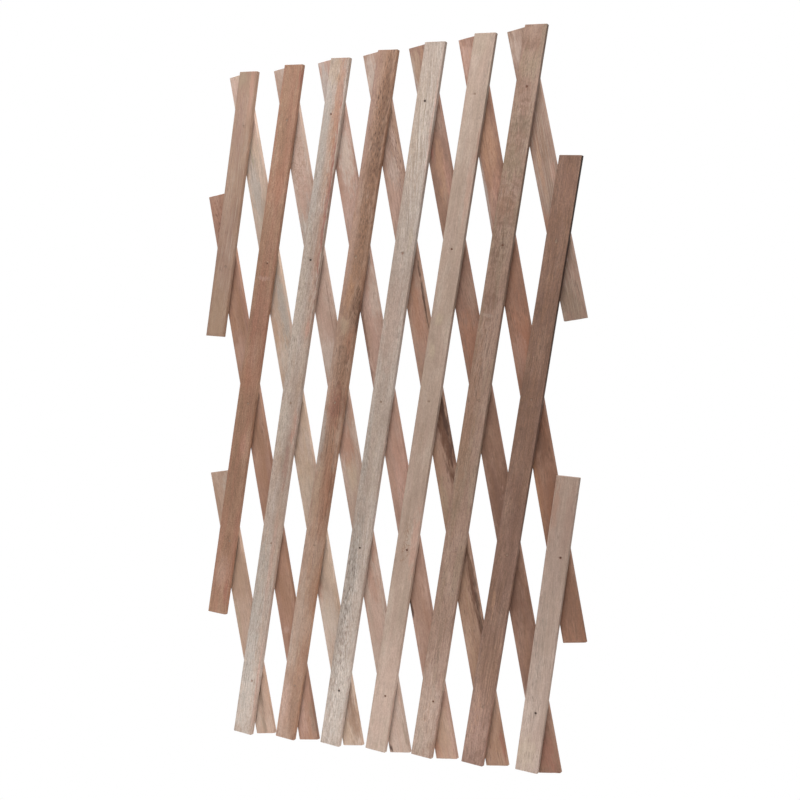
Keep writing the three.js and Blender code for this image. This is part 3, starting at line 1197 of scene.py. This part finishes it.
def make_lights(centre):
    """Broad soft light from the front, the back and high on the right, and a strip before each end."""
    for name, place, size, power in (
        ("front", FRONT_PLACE, BROAD_SIZE, FRONT_LIGHT),
        ("back", BACK_PLACE, BROAD_SIZE, BACK_LIGHT),
        ("right", RIGHT_PLACE, RIGHT_SIZE, RIGHT_LIGHT),
    ):
        softbox(name, centre + Vector(place), centre, size, size, power)
    for name, height, power in (
        ("upper_strip", STRIP_HEIGHT, UPPER_STRIP),
        ("lower_strip", -STRIP_HEIGHT, LOWER_STRIP),
    ):
        beside = centre + Vector((0, 0, height))
        before = beside - Vector((0, STRIP_AWAY, 0))
        softbox(name, before, beside, STRIP_WIDTH, STRIP_THICKNESS, power, STRIP_COLOUR)


def make_world():
    """White to the camera and to reflections, and a low even light on the object."""
    world = bpy.data.worlds.new("studio")
    world.use_nodes = True
    tree = world.node_tree
    tree.nodes.clear()
    path = tree.nodes.new("ShaderNodeLightPath")
    seen = path.outputs["Is Camera Ray"]
    for name in ("Is Glossy Ray", "Is Transmission Ray"):
        either = tree.nodes.new("ShaderNodeMath")
        either.operation = "MAXIMUM"
        tree.links.new(seen, either.inputs[0])
        tree.links.new(path.outputs[name], either.inputs[1])
        seen = either.outputs[0]
    lit = tree.nodes.new("ShaderNodeBackground")
    lit.inputs["Color"].default_value = (*FILL_COLOUR, 1)
    lit.inputs["Strength"].default_value = WORLD_LIGHT
    white = tree.nodes.new("ShaderNodeBackground")
    white.inputs["Color"].default_value = (1, 1, 1, 1)
    white.inputs["Strength"].default_value = 1.0
    mix = tree.nodes.new("ShaderNodeMixShader")
    tree.links.new(seen, mix.inputs[0])
    tree.links.new(lit.outputs[0], mix.inputs[1])
    tree.links.new(white.outputs[0], mix.inputs[2])
    output = tree.nodes.new("ShaderNodeOutputWorld")
    tree.links.new(mix.outputs[0], output.inputs["Surface"])
    bpy.context.scene.world = world


def floor_material():
    """Pale and matt, and white to the camera save for a faint shadow near the lattice."""
    g = Graph("floor")
    place = g.node("ShaderNodeTexCoord").outputs["Object"]
    near = g.ease(g.length(place), 0.0, SHADOW_REACH * MM, SHADOW_SHARE, 0.0)
    path = g.node("ShaderNodeLightPath")
    matt = g.node("ShaderNodeBsdfDiffuse")
    matt.inputs["Color"].default_value = (FLOOR_GREY, FLOOR_GREY, FLOOR_GREY, 1)
    white = g.node("ShaderNodeEmission")
    white.inputs["Strength"].default_value = 1.0
    dimmed = g.wired("ShaderNodeMixShader", (near, white.outputs[0], matt.outputs[0]))
    seen = path.outputs["Is Camera Ray"]
    both = g.wired("ShaderNodeMixShader", (seen, matt.outputs[0], dimmed.outputs[0]))
    return g.surface(both.outputs[0])


def make_floor(centre, lowest):
    half = FLOOR_HALF_SIZE
    corners = [(-half, -half, 0), (half, -half, 0), (half, half, 0), (-half, half, 0)]
    floor = mesh_object("floor", corners, [(0, 1, 2, 3)], floor_material())
    floor.location = (centre.x, centre.y, lowest - FLOOR_GAP * MM)


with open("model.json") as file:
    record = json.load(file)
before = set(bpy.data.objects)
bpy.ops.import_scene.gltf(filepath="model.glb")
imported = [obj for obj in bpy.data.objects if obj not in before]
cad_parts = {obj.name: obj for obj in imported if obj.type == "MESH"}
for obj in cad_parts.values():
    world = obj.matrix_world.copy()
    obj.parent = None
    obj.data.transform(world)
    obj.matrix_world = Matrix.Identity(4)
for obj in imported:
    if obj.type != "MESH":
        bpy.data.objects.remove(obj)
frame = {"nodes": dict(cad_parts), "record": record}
cad_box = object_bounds()
packed_bodies = frame["record"]["behaviour"]["bodies"]
bodies = {node: body for body, nodes in packed_bodies.items() for node in nodes}

centre_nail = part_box("nail_f5_b5")
lattice_centre = (centre_nail[0] + centre_nail[1]) / 2

make_camera(lattice_centre)
make_world()
make_lights(lattice_centre)
make_floor(lattice_centre, cad_box[0].z)

for number in range(1, SLATS_PER_LAYER + 1):
    make_slat(number, True)
    make_slat(number, False)

nail_steels = {kind: nail_material(kind) for kind in NAIL_LOOKS}
draw = random.Random(NAIL_SEED)
for node in sorted(n for n in frame["nodes"] if n.startswith("nail")):
    kind = DARKER_NAILS.get(node, "dusty")
    make_nail(node, nail_steels[kind], draw)

bpy.context.scene.view_settings.view_transform = "Standard"
